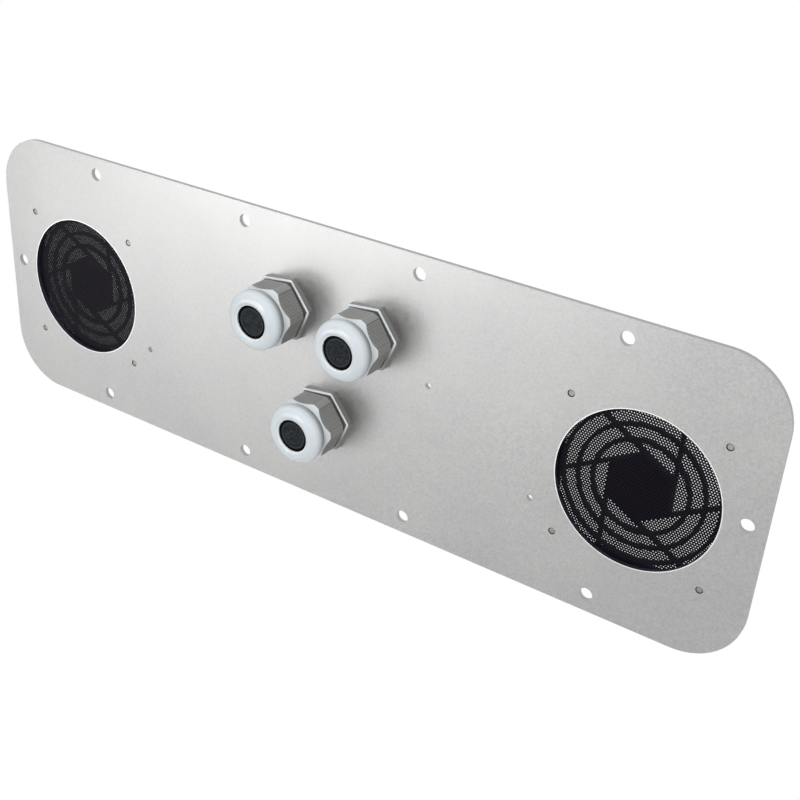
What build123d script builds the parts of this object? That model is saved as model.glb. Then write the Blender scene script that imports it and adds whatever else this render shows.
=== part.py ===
from build123d import *
import math
import os

# Vented access panel for a cabinet: a flat sheet with rounded corners, two round
# air vents with a fine screen and a moulded guard behind each, and three cable
# glands between them. Millimetres, X along the length, Z up, front facing -Y.
# The origin is the centre of the sheet's back face, where it meets the cabinet.

# Sheet
plate_length = 450.0
plate_height = 148.5
plate_thickness = 2.3
corner_radius = 30.0

# Bolt holes: two rows of four, and one at each end
bolt_hole = 6.6
bolt_pitch = 101.6
bolt_row_count = 4
row_edge_distance = 9.05
end_edge_distance = 8.7

# Small tapped holes that carry nothing here
tapped_hole = 3.0
side_tapped_x = 118.2
side_tapped_z = -26.3
centre_tapped_x = 59.9
centre_tapped_z = 11.7

# Vents
vent_opening = 77.0
vent_end_distance = 57.9
vent_drop = 3.3
vent_screw_pitch = 71.5

# Screen: a punched sheet between the plate and the guard. The real one has holes
# 1.3 apart; these larger ones keep its open share and its layout.
screen_thickness = 0.5
screen_hole = 5.6
screen_pitch = 7.4
screen_rim = 1.6

# Guard: a square moulded frame with rings and slanted spokes around a hub
guard_border = 4.25
guard_corner_radius = 5.0
guard_depth = 3.2
guard_wall = 2.5
guard_edge_round = 0.6
boss_diameter = 10.4
rib_depth = 1.4
rib_width = 1.9
ring_count = 3
ring_pitch = 7.2
ring_inset = 1.6
hub_flats = 31.2
hub_dish_flats = 24.0
hub_dish_depth = 0.6

# Guard screws
screw_thread = 3.4
screw_fit = 0.05
screw_clearance = 0.2
screw_end_inset = 0.3
screw_end_chamfer = 0.4
screw_head = 6.2
screw_head_height = 2.3
screw_head_round = 1.2
recess_length = 3.6
recess_width = 0.9
recess_depth = 1.3

# Gland places on the plate, and how far each was turned when it was tightened
upper_gland_x = 25.5
upper_gland_z = 27.2
lower_gland_x = 0.5
lower_gland_z = -25.8
body_turns = (8.0, 7.4, 8.2)
cap_turns = (5.5, 4.3, 5.2)
nut_turns = (20.0, 5.0, 40.0)

# Gland body
gland_thread = 25.0
gland_bore = 17.6
gland_tail = 9.0
gland_hole_play = 0.1
flange_flats = 30.8
flange_turned = 35.0
flange_height = 3.3
flange_chamfer = 0.15
spigot_diameter = 23.2
spigot_reach = 13.0
claw_reach = 17.4
claw_diameter = 21.6
claw_count = 8
claw_slot = 1.4
seal_seat = 9.0
tail_chamfer = 0.8

# Gland cap
cap_flats = 29.3
cap_turned = 32.0
cap_lift = 5.5
cap_hex_height = 10.2
cap_chamfer_rise = 2.5
neck_diameter = 28.3
dome_start = 18.7
dome_diameter = 30.4
dome_height = 26.4
dome_round = 4.8
mouth_diameter = 17.1
lip_depth = 0.7
lip_width = 1.2
cap_cone_start = 19.0
mouth_land = 2.2
thread_fit = 0.1

# Gland seal and dust disc
seal_ledge = 0.6
seal_fit = 0.1
seal_length = 11.4
seal_gap = 0.3
seal_wall = 2.4
seal_nose_gap = 0.3
seal_nose_inset = 1.2
seal_shoulder = 1.0
disc_diameter = 14.9
disc_thickness = 1.2
disc_inset = 0.15

# Gland lock nut and flat seal under the flange
nut_flats = 31.0
nut_turned = 34.4
nut_height = 5.0
nut_chamfer = 0.8
flat_seal_inner = 26.6
flat_seal_outer = 29.6
flat_seal_thickness = 0.9

# Places worked out from the sizes above
front_y = -plate_thickness
row_z = plate_height / 2 - row_edge_distance
end_x = plate_length / 2 - end_edge_distance
vent_x = plate_length / 2 - vent_end_distance
guard_side = vent_screw_pitch + 2 * guard_border
guard_front_y = screen_thickness
guard_back_y = guard_front_y + guard_depth
gland_hole = gland_thread + 2 * gland_hole_play
seal_diameter = gland_bore + 2 * seal_ledge
claw_bore = seal_diameter + 2 * seal_fit
cap_bore = spigot_diameter + 2 * thread_fit
land_start = dome_height - lip_depth - mouth_land
seal_front = land_start - seal_gap
seal_back = seal_front - seal_length
nose_front = dome_height - seal_nose_inset
disc_seat = nose_front - disc_inset - disc_thickness

vents = {"left": (-vent_x, -vent_drop), "right": (vent_x, -vent_drop)}
glands = {
    "upper_left": (-upper_gland_x, upper_gland_z),
    "upper_right": (upper_gland_x, upper_gland_z),
    "lower": (lower_gland_x, lower_gland_z),
}


def facing(centre, y):
    """A plane at depth y that faces forwards, with its origin at (x, z)."""
    return Plane(origin=(centre[0], y, centre[1]), x_dir=(1, 0, 0), z_dir=(0, -1, 0))


def section(centre, y=front_y):
    """A plane through a forward axis: x is the radius, y the height in front."""
    return Plane(origin=(centre[0], y, centre[1]), x_dir=(1, 0, 0), z_dir=(0, 0, -1))


def forward_axis(centre):
    return Axis((centre[0], front_y, centre[1]), (0, -1, 0))


def save(part, name):
    part.label = name
    export_step(part, f"parts/{name}.step")


def make_plate():
    with BuildPart() as plate:
        with BuildSketch(facing((0, 0), 0)):
            RectangleRounded(plate_length, plate_height, corner_radius)
            with GridLocations(bolt_pitch, 2 * row_z, bolt_row_count, 2):
                Circle(bolt_hole / 2, mode=Mode.SUBTRACT)
            with GridLocations(2 * end_x, 0, 2, 1):
                Circle(bolt_hole / 2, mode=Mode.SUBTRACT)
            with Locations((-side_tapped_x, side_tapped_z), (side_tapped_x, side_tapped_z),
                           (centre_tapped_x, centre_tapped_z)):
                Circle(tapped_hole / 2, mode=Mode.SUBTRACT)
            with Locations(*vents.values()):
                Circle(vent_opening / 2, mode=Mode.SUBTRACT)
                with GridLocations(vent_screw_pitch, vent_screw_pitch, 2, 2):
                    Circle(screw_thread / 2 + screw_fit, mode=Mode.SUBTRACT)
            with Locations(*glands.values()):
                Circle(gland_hole / 2, mode=Mode.SUBTRACT)
        extrude(amount=plate_thickness)
    return plate.part


def screen_cells():
    """Hole centres in staggered rows, all inside the vent opening."""
    reach = vent_opening / 2 - screen_rim - screen_hole / 2
    rise = screen_pitch * math.sqrt(3) / 2
    rows = int(reach / rise)
    columns = int(reach / screen_pitch) + 1
    cells = []
    for row in range(-rows, rows + 1):
        for column in range(-columns, columns + 1):
            x = (column + (row % 2) / 2) * screen_pitch
            z = row * rise
            if math.hypot(x, z) <= reach:
                cells.append((x, z))
    return cells


def make_screen(centre):
    with BuildPart() as screen:
        with BuildSketch(facing(centre, guard_front_y)):
            RectangleRounded(guard_side, guard_side, guard_corner_radius)
            with GridLocations(vent_screw_pitch, vent_screw_pitch, 2, 2):
                Circle(screw_thread / 2 + screw_clearance, mode=Mode.SUBTRACT)
            with Locations(*screen_cells()):
                RegularPolygon(screen_hole / 2, 6, major_radius=False, rotation=30, mode=Mode.SUBTRACT)
        extrude(amount=screen_thickness)
    return screen.part


def make_guard(centre):
    outer_ring = vent_opening / 2 - ring_inset
    inner_side = guard_side - 2 * guard_wall
    with BuildPart() as guard:
        # Square frame with a boss in each corner
        with BuildSketch(facing(centre, guard_back_y)):
            RectangleRounded(guard_side, guard_side, guard_corner_radius)
            RectangleRounded(inner_side, inner_side, guard_corner_radius, mode=Mode.SUBTRACT)
            with GridLocations(vent_screw_pitch, vent_screw_pitch, 2, 2):
                Circle(boss_diameter / 2)
            RectangleRounded(guard_side, guard_side, guard_corner_radius, mode=Mode.INTERSECT)
        extrude(amount=guard_depth)
        back_rim = guard.faces().sort_by(Axis.Y)[-1].outer_wire().edges()
        fillet(back_rim, guard_edge_round)
        # Rings, hub and spokes, flush with the back. Each spoke carries one side of
        # the hub straight on into the frame, so all six slant the same way.
        with BuildSketch(facing(centre, guard_back_y)):
            for step in range(ring_count):
                radius = outer_ring - step * ring_pitch
                Circle(radius + rib_width / 2)
                Circle(radius - rib_width / 2, mode=Mode.SUBTRACT)
            RegularPolygon(hub_flats / 2, 6, major_radius=False, rotation=30)
            with PolarLocations(0, 6):
                with Locations(((hub_flats - rib_width) / 2, guard_side / 2)):
                    Rectangle(rib_width, guard_side)
            rib_limit = inner_side + guard_wall
            RectangleRounded(rib_limit, rib_limit, guard_corner_radius, mode=Mode.INTERSECT)
        extrude(amount=rib_depth)
        # A shallow dish in the back of the hub keeps the moulding even
        with BuildSketch(facing(centre, guard_back_y)):
            RegularPolygon(hub_dish_flats / 2, 6, major_radius=False, rotation=30)
        extrude(amount=hub_dish_depth, mode=Mode.SUBTRACT)
        with BuildSketch(facing(centre, guard_back_y)):
            with GridLocations(vent_screw_pitch, vent_screw_pitch, 2, 2):
                Circle(screw_thread / 2 + screw_clearance)
        extrude(amount=guard_depth, mode=Mode.SUBTRACT)
    return guard.part


def make_screws(centre):
    """Four pan-head screws from behind, ending just short of the plate's front."""
    shank_length = guard_back_y - front_y - screw_end_inset
    with BuildPart() as screws:
        for corner in GridLocations(vent_screw_pitch, vent_screw_pitch, 2, 2):
            place = (centre[0] + corner.position.X, centre[1] + corner.position.Y)
            with BuildSketch(facing(place, guard_back_y + screw_head_height)):
                Circle(screw_head / 2)
            extrude(amount=screw_head_height)
            with BuildSketch(facing(place, guard_back_y)):
                Circle(screw_thread / 2)
            extrude(amount=shank_length)
        chamfer(screws.edges().group_by(Axis.Y)[0], screw_end_chamfer)
        fillet(screws.edges().group_by(Axis.Y)[-1], screw_head_round)
        for corner in GridLocations(vent_screw_pitch, vent_screw_pitch, 2, 2):
            place = (centre[0] + corner.position.X, centre[1] + corner.position.Y)
            with BuildSketch(facing(place, guard_back_y + screw_head_height)):
                Rectangle(recess_length, recess_width)
                Rectangle(recess_width, recess_length)
            extrude(amount=recess_depth, mode=Mode.SUBTRACT)
    return screws.part


def turned_hexagon(flats, turned, turn):
    """A hexagon whose corners were turned down to a smaller circle."""
    RegularPolygon(flats / 2, 6, major_radius=False, rotation=turn)
    Circle(turned / 2, mode=Mode.INTERSECT)


def make_gland_body(centre, turn):
    with BuildPart() as body:
        with BuildSketch(facing(centre, front_y)):
            turned_hexagon(flange_flats, flange_turned, turn)
        extrude(amount=flange_height)
        chamfer(body.faces().sort_by(Axis.Y)[0].outer_wire().edges(), flange_chamfer)
        # Thread behind, spigot in front, and the claws that grip the seal
        with BuildSketch(section(centre)):
            with BuildLine():
                tail = -(plate_thickness + gland_tail)
                Polyline(
                    (0, tail),
                    (gland_thread / 2 - tail_chamfer, tail),
                    (gland_thread / 2, tail + tail_chamfer),
                    (gland_thread / 2, 0),
                    (spigot_diameter / 2, flange_height / 2),
                    (spigot_diameter / 2, spigot_reach),
                    (claw_diameter / 2, spigot_reach),
                    (claw_diameter / 2, claw_reach),
                    (0, claw_reach),
                    close=True,
                )
            make_face()
        revolve(axis=forward_axis(centre))
        # Bore for the cable, wider in front where the seal sits
        with BuildSketch(facing(centre, plate_thickness + gland_tail + front_y)):
            Circle(gland_bore / 2)
        extrude(amount=plate_thickness + gland_tail + claw_reach, mode=Mode.SUBTRACT)
        with BuildSketch(facing(centre, front_y - seal_seat)):
            Circle(claw_bore / 2)
        extrude(amount=claw_reach - seal_seat, mode=Mode.SUBTRACT)
        # Slots that part the claws
        with BuildSketch(facing(centre, front_y - spigot_reach)):
            with PolarLocations((claw_diameter + claw_bore) / 4, claw_count):
                Rectangle(claw_diameter - claw_bore, claw_slot)
        extrude(amount=claw_reach - spigot_reach, mode=Mode.SUBTRACT)
        # Groove under the flange for the flat seal
        with BuildSketch(facing(centre, front_y)):
            Circle(flat_seal_outer / 2)
            Circle(flat_seal_inner / 2, mode=Mode.SUBTRACT)
        extrude(amount=flat_seal_thickness, mode=Mode.SUBTRACT)
    return body.part


def make_gland_cap(centre, turn):
    hex_top = cap_lift + cap_hex_height
    with BuildPart() as cap:
        # Spanner hexagon, with its front corners cut back by a cone
        with BuildSketch(facing(centre, front_y - cap_lift)):
            turned_hexagon(cap_flats, cap_turned, turn)
        extrude(amount=dome_start - cap_lift)
        with BuildSketch(section(centre)):
            with BuildLine():
                Polyline(
                    (0, cap_lift),
                    (cap_turned / 2, cap_lift),
                    (cap_turned / 2, hex_top),
                    (neck_diameter / 2, hex_top + cap_chamfer_rise),
                    (neck_diameter / 2, dome_start),
                    (0, dome_start),
                    close=True,
                )
            make_face()
        revolve(axis=forward_axis(centre), mode=Mode.INTERSECT)
        # Dome, rolled over into the mouth
        with BuildSketch(section(centre)):
            crown_radius = dome_diameter / 2 - dome_round
            crown_height = dome_height - dome_round
            start_angle = -math.degrees(math.asin((crown_height - dome_start) / dome_round))
            with BuildLine():
                crown = CenterArc((crown_radius, crown_height), dome_round, start_angle, 90 - start_angle)
                lip = Polyline(
                    crown @ 1,
                    (mouth_diameter / 2 + lip_width, dome_height),
                    (mouth_diameter / 2, dome_height - lip_depth),
                    (mouth_diameter / 2, dome_start),
                )
                Line(lip @ 1, crown @ 0)
            make_face()
        revolve(axis=forward_axis(centre))
        # Threaded bore, a cone that would squeeze the claws, and the mouth
        with BuildSketch(section(centre)):
            with BuildLine():
                Polyline(
                    (0, cap_lift),
                    (cap_bore / 2, cap_lift),
                    (cap_bore / 2, cap_cone_start),
                    (mouth_diameter / 2 + lip_width, land_start),
                    (mouth_diameter / 2, land_start),
                    (mouth_diameter / 2, dome_height),
                    (0, dome_height),
                    close=True,
                )
            make_face()
        revolve(axis=forward_axis(centre), mode=Mode.SUBTRACT)
    return cap.part


def make_gland_seal(centre):
    """Rubber sleeve inside the claws. Its nose fills the mouth and holds the dust disc."""
    nose_radius = mouth_diameter / 2 - seal_nose_gap
    with BuildPart() as seal:
        with BuildSketch(section(centre)):
            with BuildLine():
                Polyline(
                    (seal_diameter / 2 - seal_wall, seal_back),
                    (seal_diameter / 2, seal_back),
                    (seal_diameter / 2, seal_front),
                    (nose_radius, seal_front),
                    (nose_radius, nose_front),
                    (disc_diameter / 2, nose_front),
                    (disc_diameter / 2, disc_seat),
                    (disc_diameter / 2 - seal_shoulder, disc_seat),
                    (disc_diameter / 2 - seal_shoulder, disc_seat - seal_shoulder),
                    (seal_diameter / 2 - seal_wall, disc_seat - 2 * seal_shoulder),
                    close=True,
                )
            make_face()
        revolve(axis=forward_axis(centre))
    return seal.part


def make_dust_disc(centre):
    with BuildPart() as disc:
        with BuildSketch(facing(centre, front_y - disc_seat)):
            Circle(disc_diameter / 2)
        extrude(amount=disc_thickness)
    return disc.part


def make_lock_nut(centre, turn):
    with BuildPart() as nut:
        with BuildSketch(facing(centre, nut_height)):
            turned_hexagon(nut_flats, nut_turned, turn)
            Circle(gland_thread / 2 + thread_fit, mode=Mode.SUBTRACT)
        extrude(amount=nut_height)
        chamfer(nut.faces().sort_by(Axis.Y)[-1].outer_wire().edges(), nut_chamfer)
    return nut.part


def make_flat_seal(centre):
    with BuildPart() as ring:
        with BuildSketch(facing(centre, front_y)):
            Circle(flat_seal_outer / 2)
            Circle(flat_seal_inner / 2, mode=Mode.SUBTRACT)
        extrude(amount=flat_seal_thickness)
    return ring.part


os.makedirs("parts", exist_ok=True)

save(make_plate(), "panel_plate")

for side, centre in vents.items():
    save(make_screen(centre), f"{side}_vent_screen")
    save(make_guard(centre), f"{side}_vent_guard")
    save(make_screws(centre), f"{side}_guard_screws")

for number, (place, centre) in enumerate(glands.items()):
    save(make_gland_body(centre, body_turns[number]), f"{place}_gland_body")
    save(make_gland_cap(centre, cap_turns[number]), f"{place}_gland_cap")
    save(make_gland_seal(centre), f"{place}_gland_seal")
    save(make_dust_disc(centre), f"{place}_dust_disc")
    save(make_lock_nut(centre, nut_turns[number]), f"{place}_lock_nut")
    save(make_flat_seal(centre), f"{place}_flat_seal")

print("pieces written:", len(os.listdir("parts")))
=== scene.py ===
# %% [markdown]
# # Dressing a vented access panel
# The panel is a flat metal sheet with a round vent near each end and three cable
# glands in the middle. Its real sizes and its moving pieces come from the packed
# frame. This file gives each surface its finish and makes what the frame only hints
# at: the fine screens, the grip ribs of the caps and the thread ends behind the
# nuts. Then it lights the panel as in the photograph.

# %% Load the frame
import math
import bpy
import bmesh
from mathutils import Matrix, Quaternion, Vector


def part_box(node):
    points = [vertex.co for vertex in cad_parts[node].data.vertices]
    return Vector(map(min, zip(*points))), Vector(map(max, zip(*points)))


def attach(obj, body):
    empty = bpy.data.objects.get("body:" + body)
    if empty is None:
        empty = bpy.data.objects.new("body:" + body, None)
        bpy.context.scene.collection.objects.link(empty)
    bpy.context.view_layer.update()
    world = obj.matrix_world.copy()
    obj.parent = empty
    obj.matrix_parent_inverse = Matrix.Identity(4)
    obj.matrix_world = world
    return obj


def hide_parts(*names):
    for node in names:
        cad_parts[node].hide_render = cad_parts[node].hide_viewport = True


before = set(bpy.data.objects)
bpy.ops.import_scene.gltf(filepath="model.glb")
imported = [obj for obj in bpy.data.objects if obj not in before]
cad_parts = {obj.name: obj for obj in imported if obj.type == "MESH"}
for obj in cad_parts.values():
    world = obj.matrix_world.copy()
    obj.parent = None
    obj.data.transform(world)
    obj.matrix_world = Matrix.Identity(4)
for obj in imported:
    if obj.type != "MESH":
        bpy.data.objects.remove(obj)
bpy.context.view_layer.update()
MM = 0.001
VENTS = ("left", "right")
GLANDS = ("upper_left", "upper_right", "lower")

# %% [markdown]
# The pieces of the frame stand where they are on the real panel. Whatever is added
# here finds its place by measuring the box of such a piece, not from typed numbers.


# %% Helper: the middle and size of a node
def middle(node):
    low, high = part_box(node)
    return (Vector(low) + Vector(high)) / 2


def extent(node):
    low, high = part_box(node)
    return Vector(high) - Vector(low)


sheet_size = extent("panel_plate")
print("sheet size in mm:", [round(side / MM, 1) for side in sheet_size])

# %% [markdown]
# The camera stands in front of the panel, to its right and above it, and is tipped
# a little to one side. Its place and aim were worked out from the bolt holes,
# which sit at known distances, so the render can be laid over the photograph.

# %% Camera
CAMERA_PLACE = Vector((0.3134, -0.4330, 0.2720))
CAMERA_AIM = Vector((0.0450, -0.0023, -0.0009))
CAMERA_ROLL = math.radians(3.83)
CAMERA_LENS = 54.43

camera_data = bpy.data.cameras.new("camera")
camera_data.lens = CAMERA_LENS
camera_data.clip_start = 0.01
camera = bpy.data.objects.new("camera", camera_data)
bpy.context.scene.collection.objects.link(camera)
camera.location = CAMERA_PLACE
look = (CAMERA_AIM - CAMERA_PLACE).to_track_quat("-Z", "Y")
camera.rotation_mode = "QUATERNION"
camera.rotation_quaternion = look @ Quaternion((0, 0, 1), CAMERA_ROLL)
bpy.context.scene.camera = camera
bpy.context.scene.view_settings.view_transform = "Standard"
print("camera distance in mm:", round((CAMERA_AIM - CAMERA_PLACE).length / MM))

# %% [markdown]
# A node tree is easier to read when each node is made and wired by one short call.
# These helpers add a node, set its plain values, and link sockets by name.


# %% Node helpers
def add_node(tree, kind, **values):
    node = tree.nodes.new(kind)
    for name, value in values.items():
        setattr(node, name, value)
    return node


def feed(tree, source, target, name):
    """Link an output socket, or set a plain value, on a node's named input."""
    socket = target.inputs[name]
    if isinstance(source, bpy.types.NodeSocket):
        tree.links.new(source, socket)
    else:
        socket.default_value = source
    return target


def maths(tree, operation, first, second=0.0):
    node = add_node(tree, "ShaderNodeMath", operation=operation)
    feed(tree, first, node, 0)
    feed(tree, second, node, 1)
    return node.outputs[0]


def vector(tree, x=0.0, y=0.0, z=0.0):
    node = add_node(tree, "ShaderNodeCombineXYZ")
    for source, axis in ((x, "X"), (y, "Y"), (z, "Z")):
        feed(tree, source, node, axis)
    return node.outputs[0]


def new_group(name, inputs, outputs):
    """A shader node group with named sockets: (name, kind, default)."""
    group = bpy.data.node_groups.new(name, "ShaderNodeTree")
    for label, kind, default in inputs:
        socket = group.interface.new_socket(label, in_out="INPUT", socket_type=kind)
        if default is not None:
            socket.default_value = default
    for label, kind in outputs:
        group.interface.new_socket(label, in_out="OUTPUT", socket_type=kind)
    return group, group.nodes.new("NodeGroupInput"), group.nodes.new("NodeGroupOutput")


def use_group(tree, group, **values):
    node = add_node(tree, "ShaderNodeGroup", node_tree=group)
    for name, value in values.items():
        feed(tree, value, node, name.replace("_", " "))
    return node


# %% [markdown]
# Rolled metal and moulded plastic both have a fine grain and slow, cloudy changes
# of tone. A picture of them would blur close up. Noise stays sharp at any distance,
# so one group of nodes makes both, and each material sets how strong they are.

# %% Grain group
FLOAT = "NodeSocketFloat"
GRAIN_DETAIL, CLOUD_DETAIL = 3.0, 2.0


def make_grain_group():
    """Fine grain and slow clouds, with their sizes in millimetres."""
    tree, given, result = new_group(
        "grain",
        [("Grain Size", FLOAT, 0.5), ("Cloud Size", FLOAT, 60.0), ("Cloud Share", FLOAT, 0.5)],
        [("Tone", FLOAT), ("Height", FLOAT), ("Cloud", FLOAT)],
    )
    place = add_node(tree, "ShaderNodeTexCoord").outputs["Object"]
    noises = []
    for size, detail in (("Grain Size", GRAIN_DETAIL), ("Cloud Size", CLOUD_DETAIL)):
        noise = add_node(tree, "ShaderNodeTexNoise")
        feed(tree, place, noise, "Vector")
        feed(tree, maths(tree, "DIVIDE", 1 / MM, given.outputs[size]), noise, "Scale")
        feed(tree, detail, noise, "Detail")
        noises.append(noise.outputs["Fac"])
    fine, cloud = noises
    mix = add_node(tree, "ShaderNodeMix", data_type="FLOAT")
    feed(tree, given.outputs["Cloud Share"], mix, 0)
    feed(tree, fine, mix, 2)
    feed(tree, cloud, mix, 3)
    for source, label in ((mix.outputs[0], "Tone"), (fine, "Height"), (cloud, "Cloud")):
        feed(tree, source, result, label)
    return tree


grain_group = make_grain_group()
print("grain group nodes:", len(grain_group.nodes))

# %% [markdown]
# Much of a gland follows its axis: its mouth lies at one distance from it, the grip
# ribs stand at even angles round it, and the flange has six flats. Unwrapping every
# piece would be slow, so one group measures all this from a point on the axis. The
# angle round the axis, folded into sixths, gives the distance from the axis measured
# square on to the nearest of the six flats. The round vents use the same group.


# %% Winding group
def make_winding_group():
    """Measures of a surface point round an axis that runs from front to back."""
    tree, given, result = new_group(
        "winding",
        [("Centre", "NodeSocketVector", None), ("Ribs", FLOAT, 0.0), ("Flat Turn", FLOAT, 0.0)],
        [("Height", FLOAT), ("Depth", FLOAT), ("Radius", FLOAT), ("Flat Reach", FLOAT), ("Up", FLOAT)],
    )
    offset = add_node(tree, "ShaderNodeVectorMath", operation="SUBTRACT")
    feed(tree, add_node(tree, "ShaderNodeTexCoord").outputs["Object"], offset, 0)
    feed(tree, given.outputs["Centre"], offset, 1)
    parts = add_node(tree, "ShaderNodeSeparateXYZ")
    feed(tree, offset.outputs[0], parts, 0)
    x, y, z = (parts.outputs[axis] for axis in "XYZ")
    length = add_node(tree, "ShaderNodeVectorMath", operation="LENGTH")
    feed(tree, vector(tree, x, z), length, 0)
    radius = length.outputs["Value"]

    # The angle gives the wave of the ribs and, in sixths, the lean from a flat's middle
    angle = maths(tree, "ARCTAN2", z, x)
    wave = maths(tree, "SINE", maths(tree, "MULTIPLY", angle, given.outputs["Ribs"]))
    sixth = maths(tree, "SUBTRACT", angle, given.outputs["Flat Turn"])
    sixth = maths(tree, "FLOORED_MODULO", sixth, math.radians(60))
    lean = maths(tree, "SUBTRACT", sixth, math.radians(30))
    feed(tree, wave, result, "Height")
    feed(tree, y, result, "Depth")
    feed(tree, radius, result, "Radius")
    feed(tree, maths(tree, "MULTIPLY", maths(tree, "COSINE", lean), radius), result, "Flat Reach")
    feed(tree, maths(tree, "DIVIDE", z, radius), result, "Up")
    return tree


winding_group = make_winding_group()
print("winding group nodes:", len(winding_group.nodes))

# %% [markdown]
# Every finish starts from the same shader, the Principled BSDF. These helpers make a
# material with it, mix two tones by a mask, stretch a range of values to another
# range, and raise or sink the surface in its shading without adding any faces.


# %% Helper: a material with its shader and output
def new_material(name, **sockets):
    material = bpy.data.materials.new(name)
    material.use_nodes = True
    tree = material.node_tree
    shader = tree.nodes["Principled BSDF"]
    for label, value in sockets.items():
        feed(tree, value, shader, label.replace("_", " "))
    print("material:", name)
    return material, tree, shader


def blend(tree, mask, first, second, kind="MIX"):
    """Mix two colours, each a plain one or a socket, by a mask."""
    mix = add_node(tree, "ShaderNodeMix", data_type="RGBA", blend_type=kind)
    feed(tree, mask, mix, 0)
    for place, colour in ((6, first), (7, second)):
        feed(tree, colour if isinstance(colour, bpy.types.NodeSocket) else (*colour, 1), mix, place)
    return mix.outputs[2]


def times(colour, share):
    return tuple(channel * share for channel in colour)


def ramp(tree, value, low, high, low_out=0.0, high_out=1.0):
    node = add_node(tree, "ShaderNodeMapRange")
    feed(tree, value, node, "Value")
    feed(tree, low, node, "From Min")
    feed(tree, high, node, "From Max")
    feed(tree, low_out, node, "To Min")
    feed(tree, high_out, node, "To Max")
    return node.outputs["Result"]


def bump(tree, height, distance, under=None):
    """A bump, which may lie on top of another one."""
    node = add_node(tree, "ShaderNodeBump")
    feed(tree, height, node, "Height")
    feed(tree, distance, node, "Distance")
    if under is not None:
        feed(tree, under, node, "Normal")
    return node.outputs["Normal"]


# %% [markdown]
# The sheet is bare rolled aluminium. Close up it sparkles, because each grain of
# the matt surface tips a little its own way. A metal of one even roughness looks too
# perfect, so a fine noise drives colour, roughness and bump together, and a broad
# one keeps the large faces from looking flat. A painted highlight runs round the edge
# of each round opening, and the wall of the opening is painted dark as shade.

# %% Sheet metal
OPENING_RADIUS = 38.5 * MM
WALL_END = OPENING_RADIUS + 0.02 * MM
# A painted highlight round each opening's edge, and painted shade on the opening's wall
HIGHLIGHT_END = OPENING_RADIUS + 0.45 * MM
METAL_TONES = ((0.285, 0.285, 0.29), (0.525, 0.525, 0.515))
OPENING_HIGHLIGHT = (0.80, 0.80, 0.78)
SHADED_METAL = (0.22, 0.22, 0.30)
METAL_RELIEF = 0.012 * MM

sheet_metal, tree, shader = new_material("sheet_metal", Metallic=1.0, IOR=1.5)
grain = use_group(tree, grain_group, Grain_Size=0.9, Cloud_Size=70.0, Cloud_Share=0.35)
tone = blend(tree, grain.outputs["Tone"], *METAL_TONES)
for side in VENTS:
    vent_middle = middle(side + "_vent_screen")
    vent = use_group(tree, winding_group, Centre=(vent_middle.x, 0.0, vent_middle.z))
    reach = vent.outputs["Radius"]
    # Painted highlight on the edge of the opening, painted shade on its wall
    past_wall = maths(tree, "GREATER_THAN", reach, WALL_END)
    highlight_band = maths(tree, "MULTIPLY", past_wall, maths(tree, "LESS_THAN", reach, HIGHLIGHT_END))
    tone = blend(tree, highlight_band, tone, OPENING_HIGHLIGHT)
    tone = blend(tree, maths(tree, "LESS_THAN", reach, WALL_END), tone, SHADED_METAL)
feed(tree, tone, shader, "Base Color")
feed(tree, ramp(tree, grain.outputs["Height"], 0.3, 0.7, 0.36, 0.48), shader, "Roughness")
feed(tree, bump(tree, grain.outputs["Height"], METAL_RELIEF), shader, "Normal")

# %% [markdown]
# Nylon glands are pale grey with a soft shine. Their six-sided walls, drawn along
# the mould, are painted duller and warmer than the turned faces that look forwards,
# partly as their own finish and partly as painted shade. Faces that lean away from
# the front are painted lighter, as painted light. A cap's dome is pale all over and
# has painted shade only in the last millimetres before its seam. The way that a face
# looks and its depth are known at every point of a surface, so masks made from them
# need no unwrapping and turn with the cap.


# %% Masks for the side walls of a gland
WALL_FACING = (0.08, 0.30)
DOME_FADE_START, DOME_FADE_END = 3.8 * MM, 1.4 * MM


def front_facing(tree, back):
    """1 on faces that look forwards, and the given share on those that look back."""
    normal = add_node(tree, "ShaderNodeSeparateXYZ")
    feed(tree, add_node(tree, "ShaderNodeTexCoord").outputs["Normal"], normal, 0)
    forwards = maths(tree, "MULTIPLY", normal.outputs["Y"], -1.0)
    return maths(tree, "MAXIMUM", forwards, maths(tree, "MULTIPLY", normal.outputs["Y"], back))


def side_wall_mask(tree, facing, depth, dome_seam):
    """1 on six-sided walls and in the shade of the dome's seam, 0 on pale faces."""
    wall = ramp(tree, facing, *WALL_FACING, 1.0, 0.0)
    behind_seam = maths(tree, "GREATER_THAN", depth, dome_seam)
    # Painted shade on the dome over the last millimetres before its seam
    fade = ramp(tree, depth, dome_seam - DOME_FADE_START, dome_seam - DOME_FADE_END)
    return maths(tree, "MULTIPLY", wall, maths(tree, "MAXIMUM", behind_seam, fade))


# %% Marks on a cap
SEAM_LINE = (0.1 * MM, 0.5 * MM)
SEAM_SHADE, SEAM_TONE = 0.7, 0.45
LIP_START, LIP_END = 0.05 * MM, 0.6 * MM
LIP_HIGHLIGHT = (0.97, 0.97, 0.97)
GROOVE_WIDTH = 0.14 * MM
GROOVE_DEPTH = 3.0
TROUGH_SHADE = 0.45
TROUGH_SHADE_COLOUR = (0.35, 0.34, 0.32)


def mark_dome(tree, tone, winding, dome_seam, mouth, side):
    """A fine line of painted shade where the dome meets the flats, and a painted highlight on the lip
    of the mouth.
    """
    seam = maths(tree, "ABSOLUTE", maths(tree, "SUBTRACT", winding.outputs["Depth"], dome_seam))
    seam = ramp(tree, seam, *SEAM_LINE, SEAM_SHADE, 0.0)
    tone = blend(tree, seam, tone, times(side, SEAM_TONE))
    # Painted highlight on the lip of the mouth
    lip_highlight = ramp(tree, winding.outputs["Radius"], mouth + LIP_START, mouth + LIP_END, 1.0, 0.0)
    return blend(tree, lip_highlight, tone, LIP_HIGHLIGHT)


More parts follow.
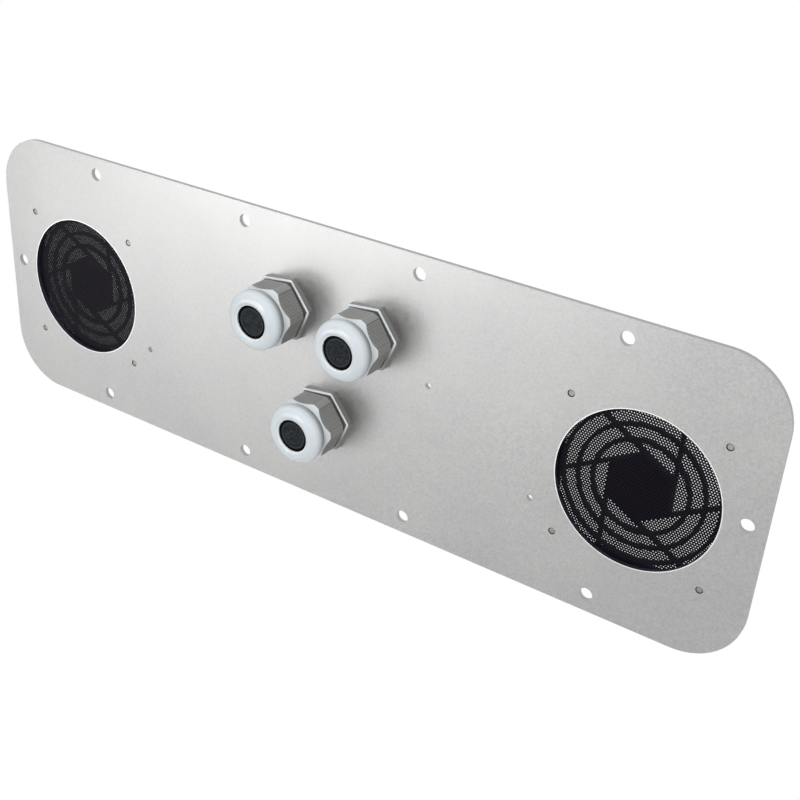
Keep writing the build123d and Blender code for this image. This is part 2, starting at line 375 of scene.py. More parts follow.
def grip_relief(tree, winding, wall, band, flat_reach):
    """Height of the ribs and of the groove that ends each ribbed flat, and painted shade in their
    troughs and the groove.
    """
    depth, radius = winding.outputs["Depth"], winding.outputs["Radius"]
    inside = maths(tree, "GREATER_THAN", depth, band[0])
    inside = maths(tree, "MULTIPLY", inside, maths(tree, "LESS_THAN", depth, band[1]))
    inside = maths(tree, "MULTIPLY", inside, maths(tree, "GREATER_THAN", wall, 0.5))
    ribbed = maths(tree, "MULTIPLY", inside, maths(tree, "LESS_THAN", radius, flat_reach))
    near_end = maths(tree, "GREATER_THAN", radius, flat_reach - GROOVE_WIDTH)
    groove = maths(tree, "MULTIPLY", maths(tree, "MULTIPLY", ribbed, near_end), GROOVE_DEPTH)
    height = maths(tree, "MULTIPLY", winding.outputs["Height"], ribbed)
    height = maths(tree, "SUBTRACT", height, groove)
    # Painted shade in the troughs between the ribs and in the groove
    trough_shade = ramp(tree, height, -1.0, 0.2, TROUGH_SHADE, 0.0)
    return height, maths(tree, "MULTIPLY", trough_shade, ribbed)


# %% Marks on a flange
LEDGE_DEPTH = -3.0 * MM
LEDGE_SHADE = (0.16, 0.16, 0.15)
RIM_WIDTH = 0.95 * MM
RIM_FADE = 0.3 * MM
RIM_UNDERSIDE = (-0.5, -0.1)
UNDERSIDE_SHADE = 0.85
RIM_ROUNDING = 0.9 * MM
RIM_DROOP = 0.6 * MM


def mark_flange(tree, tone, walls, winding, rim):
    """The cap's painted shadow on the ledge, and a pale rim with painted shade on its lower part."""
    reach = winding.outputs["Flat Reach"]
    ledge_shadow = ramp(tree, reach, rim - RIM_WIDTH - RIM_FADE, rim - RIM_WIDTH, 1.0, 0.0)
    in_front = maths(tree, "LESS_THAN", winding.outputs["Depth"], LEDGE_DEPTH)
    tone = blend(tree, maths(tree, "MULTIPLY", ledge_shadow, in_front), tone, LEDGE_SHADE)
    # Painted shade on the lower part of the rim, which faces away from the light above
    rim_underside_shade = ramp(tree, winding.outputs["Up"], *RIM_UNDERSIDE, UNDERSIDE_SHADE, 0.0)
    outer = maths(tree, "GREATER_THAN", reach, rim - RIM_WIDTH)
    return blend(tree, maths(tree, "MULTIPLY", rim_underside_shade, outer), tone, walls)


# %% [markdown]
# A cap, a body and a nut come from the same nylon, so one function makes all their
# finishes. Only a cap is given a mouth and ribs, and only a body is given a rim. The
# relief is laid on in layers: the ribs lie under the grain, and the rounding of the
# rim lies over it.


# %% Gland plastic
# The side tone is partly the walls' own duller finish and partly painted shade
NYLON_FRONT, NYLON_SIDE_AND_SHADE = (0.68, 0.71, 0.73), (0.37, 0.36, 0.34)
# Same nylon as the cap: the body's front is painted near white as a highlight on the flange rim, and
# its side darker as painted shade
BODY_FRONT_AND_HIGHLIGHT, BODY_SIDE_AND_SHADE = (0.90, 0.91, 0.92), (0.27, 0.26, 0.245)
NYLON_RELIEF, RIB_RELIEF = 0.01 * MM, 0.06 * MM
FAR_IN_FRONT = -1.0


def gland_plastic(name, centre, front=NYLON_FRONT, side=NYLON_SIDE_AND_SHADE, back=1.0, dome_seam=FAR_IN_FRONT,
                  mouth=None, ribs=0, band=None, flat_reach=None, rim=None, turn=0.0):
    """Pale nylon with duller side walls, and the marks that its piece has."""
    material, tree, shader = new_material(name, IOR=1.53, Specular_IOR_Level=0.12, Coat_Weight=0.7,
                                          Coat_Roughness=0.05)
    grain = use_group(tree, grain_group, Grain_Size=0.9, Cloud_Size=14.0, Cloud_Share=0.7)
    winding = use_group(tree, winding_group, Centre=centre, Ribs=ribs, Flat_Turn=turn)
    facing = front_facing(tree, back)
    wall = side_wall_mask(tree, facing, winding.outputs["Depth"], dome_seam)
    # Leaning faces are painted lighter as painted light; the walls tone is partly finish and partly
    # painted shade
    straight, leaning_painted_light, walls = [
        blend(tree, grain.outputs["Tone"], times(colour, low), times(colour, high))
        for colour, low, high in ((front, 0.95, 1.05), (front, 1.10, 1.20), (side, 0.88, 1.12))
    ]
    pale = blend(tree, ramp(tree, facing, 0.65, 0.95, 1.0, 0.0), straight, leaning_painted_light)
    tone = blend(tree, wall, pale, walls)
    normal = None
    if mouth:
        tone = mark_dome(tree, tone, winding, dome_seam, mouth, side)
    if ribs:
        height, trough_shade = grip_relief(tree, winding, wall, band, flat_reach)
        # Painted shade in the troughs of the grip ribs
        tone = blend(tree, trough_shade, tone, TROUGH_SHADE_COLOUR, "MULTIPLY")
        normal = bump(tree, height, RIB_RELIEF)
    normal = bump(tree, grain.outputs["Height"], NYLON_RELIEF, normal)
    if rim:
        tone = mark_flange(tree, tone, walls, winding, rim)
        droop = ramp(tree, winding.outputs["Flat Reach"], rim - RIM_ROUNDING, rim, 0.0, -1.0)
        normal = bump(tree, droop, RIM_DROOP, normal)
    feed(tree, tone, shader, "Base Color")
    feed(tree, ramp(tree, grain.outputs["Cloud"], 0.3, 0.7, 0.40, 0.50), shader, "Roughness")
    feed(tree, normal, shader, "Normal")
    return material


# %% [markdown]
# Black pieces differ mostly in how they take the light: the guards are moulded with
# a faint grain, the screens are painted and glossier, and the rubber seals are dull.
# A dead black would hide their shapes, so each is a very dark tone with its own
# roughness.


# %% Dark materials
def dark_material(name, tones, roughness, grain_size, relief, gloss=0.08):
    material, tree, shader = new_material(name, IOR=1.48, Specular_IOR_Level=gloss)
    grain = use_group(tree, grain_group, Grain_Size=grain_size, Cloud_Size=9.0, Cloud_Share=0.5)
    feed(tree, blend(tree, grain.outputs["Tone"], *tones), shader, "Base Color")
    feed(tree, ramp(tree, grain.outputs["Height"], 0.3, 0.7, *roughness), shader, "Roughness")
    feed(tree, bump(tree, grain.outputs["Height"], relief * MM), shader, "Normal")
    return material


BLACK_TONES = ((0.0015, 0.001, 0.003), (0.006, 0.004, 0.009))
RUBBER_TONES = ((0.001, 0.001, 0.001), (0.003, 0.003, 0.003))
guard_plastic = dark_material("guard_plastic", BLACK_TONES, (0.45, 0.62), 0.6, 0.02)
screen_paint = dark_material("screen_paint", BLACK_TONES, (0.32, 0.46), 0.3, 0.01)
seal_rubber = dark_material("seal_rubber", RUBBER_TONES, (0.55, 0.75), 0.5, 0.02, 0.02)

# %% [markdown]
# A dust disc is a shade lighter than the seal and speckled. It has a faintly raised
# ring near its edge with a painted highlight on it, and is painted black beyond it as
# shade in the gap under the lip of the seal. Both follow the distance from its axis.


# %% Disc plastic
RING_NEAR, RING_FAR = 0.1 * MM, 0.35 * MM
RING_RELIEF = 0.05 * MM
DISC_TONES = ((0.002, 0.003, 0.004), (0.028, 0.032, 0.036))
RING_HIGHLIGHT = (0.040, 0.045, 0.048)
GAP_SHADE = (0.002, 0.002, 0.002)


def disc_plastic(name, centre, ring):
    material, tree, shader = new_material(name, IOR=1.48, Specular_IOR_Level=0.08)
    grain = use_group(tree, grain_group, Grain_Size=1.0, Cloud_Size=5.0, Cloud_Share=0.15)
    radius = use_group(tree, winding_group, Centre=centre).outputs["Radius"]
    face = blend(tree, ramp(tree, grain.outputs["Tone"], 0.35, 0.65), *DISC_TONES)
    inner = ramp(tree, radius, ring - RING_FAR, ring - RING_NEAR)
    outer = ramp(tree, radius, ring + RING_NEAR, ring + RING_FAR)
    # Painted highlight on the raised ring, and painted shade beyond it
    face = blend(tree, inner, face, RING_HIGHLIGHT)
    feed(tree, blend(tree, outer, face, GAP_SHADE), shader, "Base Color")
    feed(tree, ramp(tree, grain.outputs["Height"], 0.3, 0.7, 0.40, 0.55), shader, "Roughness")
    raised = maths(tree, "ADD", grain.outputs["Height"], maths(tree, "SUBTRACT", inner, outer))
    feed(tree, bump(tree, raised, RING_RELIEF), shader, "Normal")
    return material


# %% [markdown]
# The guard screws are zinc-plated steel: a warm grey metal with a little mottling,
# which the clouds of the grain group give.

# %% Screw steel
ZINC_TONES = ((0.20, 0.20, 0.19), (0.38, 0.38, 0.36))
ZINC_RELIEF = 0.01 * MM

screw_steel, tree, shader = new_material("screw_steel", Metallic=1.0, IOR=1.5)
grain = use_group(tree, grain_group, Grain_Size=0.5, Cloud_Size=3.0, Cloud_Share=0.6)
feed(tree, blend(tree, grain.outputs["Tone"], *ZINC_TONES), shader, "Base Color")
feed(tree, ramp(tree, grain.outputs["Cloud"], 0.3, 0.7, 0.28, 0.45), shader, "Roughness")
feed(tree, bump(tree, grain.outputs["Height"], ZINC_RELIEF), shader, "Normal")

# %% [markdown]
# The pieces of the frame come with plain materials. Changing what their material
# slots hold dresses them and leaves their shapes alone, so they still fit and move.
# Each gland has finishes of its own, because their masks start from its axis.


# %% Put the finishes on the CAD nodes
def dress(node, material):
    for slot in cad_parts[node].material_slots:
        slot.material = material


GRIP_RIBS = 96
CAP_WALL = 13.2 * MM
MOUTH_RADIUS = 8.55 * MM
GROOVE_INSET = 0.12 * MM
FLANGE_REACH = 15.4 * MM
DISC_RING = 6.6 * MM
FLANGE_TURNS = [math.radians(angle) for angle in (8.0, 7.4, 8.2)]
body_finishes, cap_finishes = {}, {}
dress("panel_plate", sheet_metal)
for side in VENTS:
    dress(side + "_vent_guard", guard_plastic)
    dress(side + "_guard_screws", screw_steel)
for place, turn in zip(GLANDS, FLANGE_TURNS):
    centre = middle(place + "_gland_cap")
    axis_point = (centre.x, 0.0, centre.z)
    cap_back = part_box(place + "_gland_cap")[1][1]
    dome_seam = cap_back - CAP_WALL
    groove_reach = extent(place + "_gland_cap").x / 2 - GROOVE_INSET
    body_finishes[place] = gland_plastic(place + "_body_plastic", axis_point, BODY_FRONT_AND_HIGHLIGHT, BODY_SIDE_AND_SHADE,
                                         rim=FLANGE_REACH, turn=turn)
    cap_finishes[place] = gland_plastic(place + "_cap_plastic", axis_point, back=0.0,
                                        dome_seam=dome_seam, mouth=MOUTH_RADIUS, ribs=GRIP_RIBS,
                                        band=(dome_seam, cap_back), flat_reach=groove_reach)
    dress(place + "_gland_body", body_finishes[place])
    dress(place + "_gland_cap", cap_finishes[place])
    dress(place + "_lock_nut", gland_plastic(place + "_nut_plastic", axis_point))
    dress(place + "_gland_seal", seal_rubber)
    dress(place + "_flat_seal", seal_rubber)
    dress(place + "_dust_disc", disc_plastic(place + "_disc_plastic", axis_point, DISC_RING))
print("materials:", len(bpy.data.materials))

# %% [markdown]
# Each screen is a thin sheet punched all over with tiny holes in staggered rows,
# about 3,200 of them. Drawing them as a picture would fail as soon as the view
# changes, and cutting them with booleans would be slow. One six-sided cell with a
# round hole is modelled, and Geometry Nodes sets it on a staggered lattice. The
# cells are a little thinner than the border, so that their faces never coincide.

# %% One cell of the screen
HOLE_PITCH = 1.314 * MM
HOLE_RADIUS = 0.36 * MM
HOLE_SIDES = 12
SCREEN_THICKNESS = extent("left_vent_screen").y
CELL_THICKNESS = SCREEN_THICKNESS * 0.92


def ring_of_points(shape, radius, count, level):
    """New points evenly round a circle, the first of them at 30 degrees."""
    angles = [math.radians(30 + 360 / count * step) for step in range(count)]
    return [shape.verts.new((radius * math.cos(a), radius * math.sin(a), level)) for a in angles]


def screen_cell(pitch, hole_radius, thickness):
    """A six-sided tile that meets its neighbours edge to edge, open at both rims."""
    mesh = bpy.data.meshes.new("screen_cell")
    shape = bmesh.new()
    per_side = HOLE_SIDES // 6
    rings = []
    for level in (-thickness / 2, thickness / 2):
        corners = ring_of_points(shape, pitch / math.sqrt(3), 6, level)
        rim = ring_of_points(shape, hole_radius, HOLE_SIDES, level)
        rings.append((corners, rim))
    for (corners, rim), upward in zip(rings, (False, True)):
        for step in range(6):
            stretch = [rim[(step * per_side + k) % HOLE_SIDES] for k in range(per_side + 1)]
            loop = [corners[step], corners[(step + 1) % 6]] + stretch[::-1]
            shape.faces.new(loop if upward else loop[::-1])
    low_rim, high_rim = rings[0][1], rings[1][1]
    for step in range(HOLE_SIDES):
        after = (step + 1) % HOLE_SIDES
        shape.faces.new((low_rim[step], high_rim[step], high_rim[after], low_rim[after]))
    shape.to_mesh(mesh)
    shape.free()
    return bpy.data.objects.new("screen_cell", mesh)


cell = screen_cell(HOLE_PITCH, HOLE_RADIUS, CELL_THICKNESS)
print("faces in one cell:", len(cell.data.polygons))

# %% [markdown]
# The lattice tree starts from a plain grid of points, moves every other row half a
# pitch along, drops the points outside the round field, and puts a cell on each.
# The neighbours' corners are then merged, so that the field is one sheet. Every such
# tree starts with named inputs, makes its copies real and ends with their finish.


# %% Helpers: what every tree starts and ends with
def new_tree(name, sizes, things):
    """A Geometry Nodes tree with named inputs, and the sockets they come in by."""
    tree = bpy.data.node_groups.new(name, "GeometryNodeTree")
    shared = {"Centre": "NodeSocketVector", "Finish": "NodeSocketMaterial"}
    for label, kind in {**dict.fromkeys(sizes, FLOAT), **things, **shared}.items():
        tree.interface.new_socket(label, in_out="INPUT", socket_type=kind)
    tree.interface.new_socket("Geometry", in_out="OUTPUT", socket_type="NodeSocketGeometry")
    return tree, tree.nodes.new("NodeGroupInput").outputs


def set_copies(tree, points, copied, **fields):
    """Real copies of an object on points. Fields may choose, turn and scale them."""
    info = add_node(tree, "GeometryNodeObjectInfo")
    feed(tree, copied, info, "Object")
    spread = add_node(tree, "GeometryNodeInstanceOnPoints")
    feed(tree, points, spread, "Points")
    feed(tree, info.outputs["Geometry"], spread, "Instance")
    for label, source in fields.items():
        feed(tree, source, spread, label)
    real = add_node(tree, "GeometryNodeRealizeInstances")
    feed(tree, spread.outputs[0], real, "Geometry")
    return real.outputs[0]


def move_and_paint(tree, given, geometry, turn=(0, 0, 0)):
    """Turn a tree's geometry, move it to its centre, give it its finish and put it out."""
    move = add_node(tree, "GeometryNodeTransform")
    feed(tree, geometry, move, "Geometry")
    feed(tree, turn, move, "Rotation")
    feed(tree, given["Centre"], move, "Translation")
    paint = add_node(tree, "GeometryNodeSetMaterial")
    feed(tree, move.outputs[0], paint, "Geometry")
    feed(tree, given["Finish"], paint, "Material")
    feed(tree, paint.outputs[0], tree.nodes.new("NodeGroupOutput"), "Geometry")


# %% The lattice tree
MERGE_REACH = 0.002 * MM


def lattice_tree():
    tree, given = new_tree("punched_field", ("Pitch", "Field Radius"), {"Cell": "NodeSocketObject"})
    pitch, radius = given["Pitch"], given["Field Radius"]
    rise = maths(tree, "MULTIPLY", pitch, math.sqrt(3) / 2)
    grid = add_node(tree, "GeometryNodeMeshGrid")
    for step, axis in ((pitch, "X"), (rise, "Y")):
        half = maths(tree, "CEIL", maths(tree, "DIVIDE", radius, step))
        count = maths(tree, "MULTIPLY", half, 2.0)
        feed(tree, maths(tree, "MULTIPLY", count, step), grid, "Size " + axis)
        feed(tree, maths(tree, "ADD", count, 1.0), grid, "Vertices " + axis)

    # Every other row moves half a pitch
    place = add_node(tree, "GeometryNodeInputPosition")
    parts = add_node(tree, "ShaderNodeSeparateXYZ")
    feed(tree, place.outputs[0], parts, 0)
    row = maths(tree, "ROUND", maths(tree, "DIVIDE", parts.outputs["Y"], rise))
    odd = maths(tree, "ABSOLUTE", maths(tree, "MODULO", row, 2.0))
    shift = maths(tree, "MULTIPLY", odd, maths(tree, "MULTIPLY", pitch, 0.5))
    stagger = add_node(tree, "GeometryNodeSetPosition")
    feed(tree, grid.outputs["Mesh"], stagger, "Geometry")
    feed(tree, vector(tree, shift), stagger, "Offset")

    # Only the points inside the round field stay
    reach = add_node(tree, "ShaderNodeVectorMath", operation="LENGTH")
    feed(tree, place.outputs[0], reach, 0)
    outside = add_node(tree, "FunctionNodeCompare", operation="GREATER_THAN")
    feed(tree, reach.outputs["Value"], outside, "A")
    feed(tree, radius, outside, "B")
    trim = add_node(tree, "GeometryNodeDeleteGeometry", domain="POINT")
    feed(tree, stagger.outputs[0], trim, "Geometry")
    feed(tree, outside.outputs[0], trim, "Selection")

    # A cell on each point, turned upright and moved to the vent
    merge = add_node(tree, "GeometryNodeMergeByDistance")
    feed(tree, set_copies(tree, trim.outputs[0], given["Cell"]), merge, "Geometry")
    feed(tree, MERGE_REACH, merge, "Distance")
    move_and_paint(tree, given, merge.outputs[0], (math.radians(90), 0, 0))
    return tree


punched_field = lattice_tree()
print("lattice tree nodes:", len(punched_field.nodes))


# %% Helper: run a tree once and keep the plain mesh
def grow(tree, name, **values):
    """Evaluate a Geometry Nodes tree on an empty mesh and return the result."""
    holder = bpy.data.objects.new(name + "_holder", bpy.data.meshes.new(name + "_holder"))
    bpy.context.scene.collection.objects.link(holder)
    modifier = holder.modifiers.new("grow", "NODES")
    modifier.node_group = tree
    for item in tree.interface.items_tree:
        key = item.name.replace(" ", "_")
        if item.in_out == "INPUT" and key in values:
            modifier[item.identifier] = values[key]
    graph = bpy.context.evaluated_depsgraph_get()
    mesh = bpy.data.meshes.new_from_object(holder.evaluated_get(graph))
    mesh.name = name
    bpy.data.objects.remove(holder)
    return mesh


# %% [markdown]
# Outside the round field the screen has a plain border with rounded corners and
# four screw holes, which the guard clamps against the back of the sheet. It is
# drawn as one outline with its holes and given a thickness.

# %% The border of a screen
BORDER_INNER = 38.7 * MM
FIELD_RADIUS = 39.0 * MM
CORNER_RADIUS = 5.0 * MM
CORNER_STEPS = 8
SCREW_SPACING = 71.5 * MM
SCREW_PASS = 1.9 * MM
OPENING_STEPS, SCREW_STEPS = 96, 20


def circle_points(centre, radius, count):
    steps = [math.tau * k / count for k in range(count)]
    return [(centre[0] + radius * math.cos(a), centre[1] + radius * math.sin(a)) for a in steps]


def rounded_square_points(side, radius):
    points = []
    for quarter in range(4):
        start = quarter * math.pi / 2
        sign = (math.cos(start + math.pi / 4), math.sin(start + math.pi / 4))
        centre = [math.copysign(side / 2 - radius, s) for s in sign]
        for k in range(CORNER_STEPS + 1):
            angle = start + math.pi / 2 * k / CORNER_STEPS
            points.append((centre[0] + radius * math.cos(angle), centre[1] + radius * math.sin(angle)))
    return points


def border_mesh(side, thickness, centre):
    curve = bpy.data.curves.new("border", "CURVE")
    curve.dimensions = "2D"
    curve.fill_mode = "BOTH"
    curve.extrude = thickness / 2
    opening = circle_points((0, 0), BORDER_INNER, OPENING_STEPS)
    loops = [rounded_square_points(side, CORNER_RADIUS), opening]
    half = SCREW_SPACING / 2
    for x in (-half, half):
        for y in (-half, half):
            loops.append(circle_points((x, y), SCREW_PASS, SCREW_STEPS))
    for points in loops:
        spline = curve.splines.new("POLY")
        spline.points.add(len(points) - 1)
        for point, (x, y) in zip(spline.points, points):
            point.co = (x, y, 0, 1)
        spline.use_cyclic_u = True
    holder = bpy.data.objects.new("border", curve)
    bpy.context.scene.collection.objects.link(holder)
    graph = bpy.context.evaluated_depsgraph_get()
    mesh = bpy.data.meshes.new_from_object(holder.evaluated_get(graph))
    bpy.data.objects.remove(holder)
    for vertex in mesh.vertices:
        x, y, z = vertex.co
        vertex.co = (centre.x + x, centre.y - z, centre.z + y)
    return mesh


# %% Make both screens
def join_meshes(name, meshes, material):
    shape = bmesh.new()
    for mesh in meshes:
        shape.from_mesh(mesh)
    result = bpy.data.meshes.new(name)
    shape.to_mesh(result)
    shape.free()
    result.materials.clear()
    result.materials.append(material)
    piece = bpy.data.objects.new(name, result)
    bpy.context.scene.collection.objects.link(piece)
    return piece


for side in VENTS:
    node = side + "_vent_screen"
    centre = middle(node)
    field = grow(punched_field, side + "_field", Cell=cell, Pitch=HOLE_PITCH, Field_Radius=FIELD_RADIUS,
                 Centre=centre, Finish=screen_paint)
    border = border_mesh(extent(node).x, SCREEN_THICKNESS, centre)
    piece = join_meshes(side + "_punched_screen", [field, border], screen_paint)
    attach(piece, "panel")
    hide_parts(node)
    piece.data.calc_loop_triangles()
    print(piece.name, "triangles:", len(piece.data.loop_triangles))
bpy.data.objects.remove(cell)

# %% [markdown]
# The six flats of a cap carry fine grip ribs. A bump alone stays flat when it is seen
# from the side, so each rib is a thin bar as well. One bar, a metre long, is modelled,
# and Geometry Nodes sets it on the crests of the ribs' wave and scales it to its
# length. It stops where the cone cuts its flat back, so the ribs near a corner are
# shorter. The ribs of one cap are one piece, which turns with the cap.


# %% Helper: bars with flat ends
def bar_mesh(name, rings, smooth=False):
    """Skin a run of equal outlines and close both ends."""
    shape = bmesh.new()
    loops = [[shape.verts.new(point) for point in ring] for ring in rings]
    count = len(loops[0])
    for near, far in zip(loops, loops[1:]):
        for k in range(count):
            after = (k + 1) % count
            shape.faces.new((near[k], near[after], far[after], far[k]))
    shape.faces.new(loops[0][::-1])
    shape.faces.new(loops[-1])
    bmesh.ops.recalc_face_normals(shape, faces=shape.faces)
    mesh = bpy.data.meshes.new(name)
    shape.to_mesh(mesh)
    shape.free()
    mesh.polygons.foreach_set("use_smooth", [smooth] * len(mesh.polygons))
    return mesh


def finish_piece(name, mesh, material, body):
    mesh.materials.clear()
    mesh.materials.append(material)
    piece = bpy.data.objects.new(name, mesh)
    bpy.context.scene.collection.objects.link(piece)
    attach(piece, body)
    print(name, "faces:", len(mesh.polygons))


# %% The tree that sets the ribs
def rib_tree():
    """Bars on six flats round the Y axis, each as long as the cone leaves room for."""
    sizes = ("Count", "Turn", "Flat Reach", "Corner Reach", "Half Run", "Cone Start", "Cone Slope",
             "Back Gap", "Cone Gap")
    tree, given = new_tree("grip_ribs", sizes, {"Bar": "NodeSocketObject"})

    # The angle of each crest, its lean from the middle of its flat, and its reach
    index = add_node(tree, "GeometryNodeInputIndex").outputs[0]
    angle = maths(tree, "ADD", maths(tree, "MULTIPLY", index, math.tau), math.pi / 2)
    angle = maths(tree, "DIVIDE", angle, given["Count"])
    sixth = maths(tree, "SUBTRACT", angle, given["Turn"])
    sixth = maths(tree, "FLOORED_MODULO", sixth, math.radians(60))
    lean = maths(tree, "SUBTRACT", sixth, math.radians(30))
    across = maths(tree, "MULTIPLY", maths(tree, "TANGENT", lean), given["Flat Reach"])
    reach = maths(tree, "DIVIDE", given["Flat Reach"], maths(tree, "COSINE", lean))

    # The bar starts behind the cone and stops before the cap's back
    cone = maths(tree, "SUBTRACT", given["Corner Reach"], reach)
    cone = maths(tree, "MULTIPLY", cone, given["Cone Slope"])
    front = maths(tree, "SUBTRACT", maths(tree, "ADD", cone, given["Cone Start"]), given["Cone Gap"])
    length = maths(tree, "SUBTRACT", front, given["Back Gap"])
    place = vector(tree, maths(tree, "MULTIPLY", maths(tree, "COSINE", angle), reach),
                   maths(tree, "MULTIPLY", front, -1.0),
                   maths(tree, "MULTIPLY", maths(tree, "SINE", angle), reach))

    # A bar on each crest, turned to face the way its flat faces
    points = add_node(tree, "GeometryNodePoints")
    feed(tree, given["Count"], points, "Count")
    feed(tree, place, points, "Position")
    on_flat = maths(tree, "LESS_THAN", maths(tree, "ABSOLUTE", across), given["Half Run"])
    turned = vector(tree, y=maths(tree, "SUBTRACT", lean, angle))
    bars = set_copies(tree, points.outputs[0], given["Bar"], Selection=on_flat, Rotation=turned,
                      Scale=vector(tree, 1.0, length, 1.0))
    move_and_paint(tree, given, bars)
    return tree


grip_ribs = rib_tree()
print("rib tree nodes:", len(grip_ribs.nodes))

# %% Grip ribs on the caps
CAP_TURNS = [math.radians(angle) for angle in (5.5, 4.3, 5.2)]
CAP_FLAT_REACH = 14.65 * MM
CAP_CORNER_REACH = 16.0 * MM
CONE_START = 10.2 * MM
CONE_DEPTH, CONE_INSET = 2.5 * MM, 1.85 * MM
RIB_HALF_RUN = 5.9 * MM
RIB_BACK_GAP, RIB_CONE_GAP = 0.35 * MM, 0.25 * MM
RIB_PROFILE = ((-0.25 * MM, -0.05 * MM), (-0.12 * MM, 0.12 * MM),
               (0.12 * MM, 0.12 * MM), (0.25 * MM, -0.05 * MM))

bar_rings = [[(proud, y, side) for side, proud in RIB_PROFILE] for y in (0.0, 1.0)]
bar = bpy.data.objects.new("rib_bar", bar_mesh("rib_bar", bar_rings))
for place, turn in zip(GLANDS, CAP_TURNS):
    centre = middle(place + "_gland_cap")
    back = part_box(place + "_gland_cap")[1][1]
    ribs = grow(grip_ribs, place + "_ribs", Count=float(GRIP_RIBS), Turn=turn, Bar=bar,
                Flat_Reach=CAP_FLAT_REACH, Corner_Reach=CAP_CORNER_REACH, Half_Run=RIB_HALF_RUN,
                Cone_Start=CONE_START, Cone_Slope=CONE_DEPTH / CONE_INSET, Back_Gap=RIB_BACK_GAP,
                Cone_Gap=RIB_CONE_GAP, Centre=(centre.x, back, centre.z), Finish=cap_finishes[place])
    finish_piece(place + "_grip_ribs", ribs, cap_finishes[place], place + "_cap")
bpy.data.objects.remove(bar)

# %% [markdown]
# Behind its nut each gland shows the end of its thread. A picture of a thread gives
# itself away at the outline, so it is real here: one three-sided outline is carried
# round the axis and backwards by one pitch a turn. It is a single bar of a few turns,
# for which a plain loop is enough.

# %% Threads behind the nuts
THREAD_RADIUS = 12.5 * MM
THREAD_PITCH = 1.5 * MM
THREAD_HALF = 0.5 * MM
THREAD_PROFILE = ((-0.1 * MM, -THREAD_HALF), (0.3 * MM, 0.0), (-0.1 * MM, THREAD_HALF))
THREAD_STEPS = 72
TAIL_CHAMFER = 0.8 * MM

for place in GLANDS:
    centre = middle(place + "_gland_body")
    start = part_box(place + "_lock_nut")[1][1] + THREAD_HALF
    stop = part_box(place + "_gland_body")[1][1] - TAIL_CHAMFER - THREAD_HALF
    steps = int((stop - start) / THREAD_PITCH * THREAD_STEPS)
    rings = []
    for k in range(steps + 1):
        angle = math.tau * k / THREAD_STEPS
        y = start + THREAD_PITCH * k / THREAD_STEPS
        ring = []
        for proud, shift in THREAD_PROFILE:
            x = centre.x + (THREAD_RADIUS + proud) * math.cos(angle)
            z = centre.z + (THREAD_RADIUS + proud) * math.sin(angle)
            ring.append((x, y + shift, z))
        rings.append(ring)
    thread = bar_mesh(place + "_thread", rings, smooth=True)
    finish_piece(place + "_thread_end", thread, body_finishes[place], "panel")

# %% [markdown]
# The photograph has a plain white background. The floor lies well below the panel,
# and both it and the world are white to the camera and in reflections, while the
# light that they send onto the panel stays plain.


# %% White to the eye, plain to the light
def seen_directly(tree):
    """1 for camera, glossy and transmission rays."""
    path = add_node(tree, "ShaderNodeLightPath")
    first = maths(tree, "MAXIMUM", path.outputs["Is Camera Ray"], path.outputs["Is Glossy Ray"])
    return maths(tree, "MAXIMUM", first, path.outputs["Is Transmission Ray"])


FLOOR_DROP = 0.45
FLOOR_SPREAD = 6.0
WORLD_COLOR = (1.0, 0.98, 0.95, 1)
WORLD_LIGHT = 0.25
WHITE = (1, 1, 1, 1)

world = bpy.data.worlds.new("studio")
bpy.context.scene.world = world
world.use_nodes = True
tree = world.node_tree
plain = tree.nodes["Background"]
feed(tree, WORLD_COLOR, plain, "Color")
feed(tree, WORLD_LIGHT, plain, "Strength")
white = add_node(tree, "ShaderNodeBackground")
feed(tree, WHITE, white, "Color")
feed(tree, 1.0, white, "Strength")
choose = add_node(tree, "ShaderNodeMixShader")
feed(tree, seen_directly(tree), choose, 0)
feed(tree, plain.outputs[0], choose, 1)
feed(tree, white.outputs[0], choose, 2)
feed(tree, choose.outputs[0], tree.nodes["World Output"], "Surface")
print("world nodes:", len(tree.nodes))

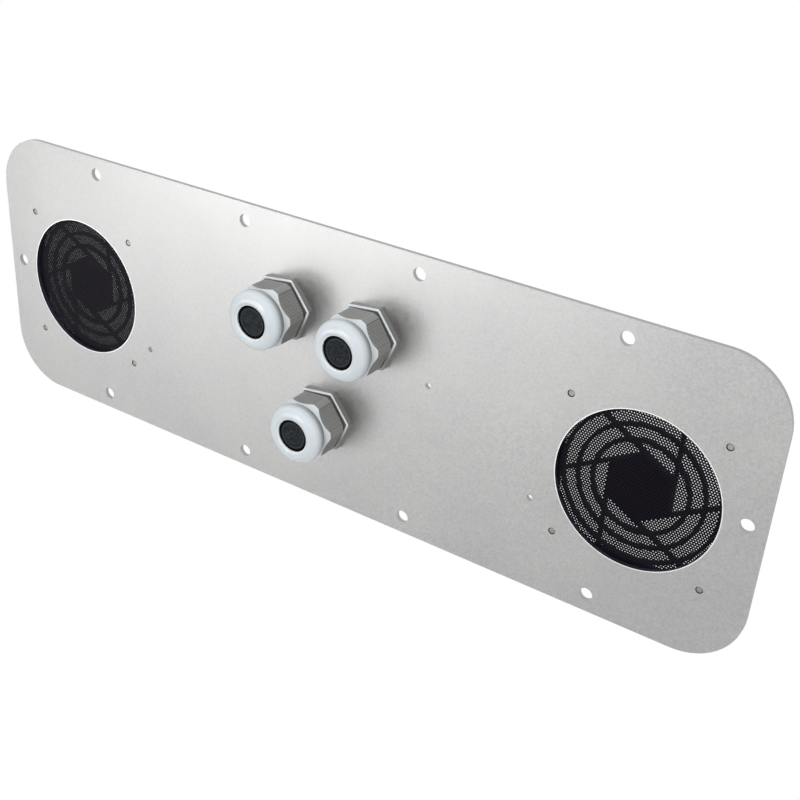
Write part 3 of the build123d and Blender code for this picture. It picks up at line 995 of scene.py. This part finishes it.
# %% Floor
bpy.ops.mesh.primitive_plane_add(size=FLOOR_SPREAD, location=(0, 0, -FLOOR_DROP))
floor = bpy.context.active_object
floor.name = "floor"
floor_finish, tree, shader = new_material("floor_finish", Roughness=0.9, IOR=1.45)
feed(tree, (0.9, 0.9, 0.9, 1), shader, "Base Color")
glow = add_node(tree, "ShaderNodeEmission")
feed(tree, WHITE, glow, "Color")
feed(tree, 1.0, glow, "Strength")
choose = add_node(tree, "ShaderNodeMixShader")
feed(tree, seen_directly(tree), choose, 0)
feed(tree, shader.outputs[0], choose, 1)
feed(tree, glow.outputs[0], choose, 2)
feed(tree, choose.outputs[0], tree.nodes["Material Output"], "Surface")
floor.data.materials.append(floor_finish)
print("floor below the panel's middle in mm:", round(FLOOR_DROP / MM))

# %% [markdown]
# Bare metal shows a lamp only as a gleam, and nylon mostly as a glow, so each kind
# of surface has its own lamps. Four soft ones on the left sweep over the sheet and
# leave its right end greyer; they give no glow. Three others light the nylon and
# give no gleam, so they leave the sheet alone.


# %% Lights
def soft_light(name, direction, distance, size, power, color=(1, 1, 1), gleam=True, glow=True):
    """A round lamp that faces the origin and may leave out its gleam or its glow."""
    data = bpy.data.lights.new(name, "AREA")
    data.shape = "DISK"
    data.size = size
    data.energy = power
    data.color = color
    light = bpy.data.objects.new(name, data)
    light.location = Vector(direction).normalized() * distance
    light.rotation_mode = "QUATERNION"
    light.rotation_quaternion = (-Vector(direction)).to_track_quat("-Z", "Y")
    light.visible_glossy = gleam
    light.visible_diffuse = glow
    bpy.context.scene.collection.objects.link(light)


COOL = (0.90, 0.96, 1.0)
soft_light("key", (-0.57, -0.78, -0.13), 1.3, 0.5, 2.6, glow=False)
soft_light("key_low", (-0.62, -0.70, -0.35), 1.3, 0.5, 0.55, glow=False)
soft_light("front_high", (-0.30, -0.93, 0.15), 1.3, 0.5, 4.9, glow=False)
soft_light("front_low", (-0.30, -0.93, -0.22), 1.3, 0.5, 0.6, glow=False)
soft_light("face_light", (-0.02, -1.0, 0.03), 1.5, 0.4, 5.0, COOL, gleam=False)
soft_light("side_fill", (0.60, -0.75, 0.30), 1.5, 0.8, 2.4, COOL, gleam=False)
soft_light("top_fill", (0.05, -0.60, 0.80), 1.5, 0.8, 11.5, COOL, gleam=False)
print("lamps:", len(bpy.data.lights))
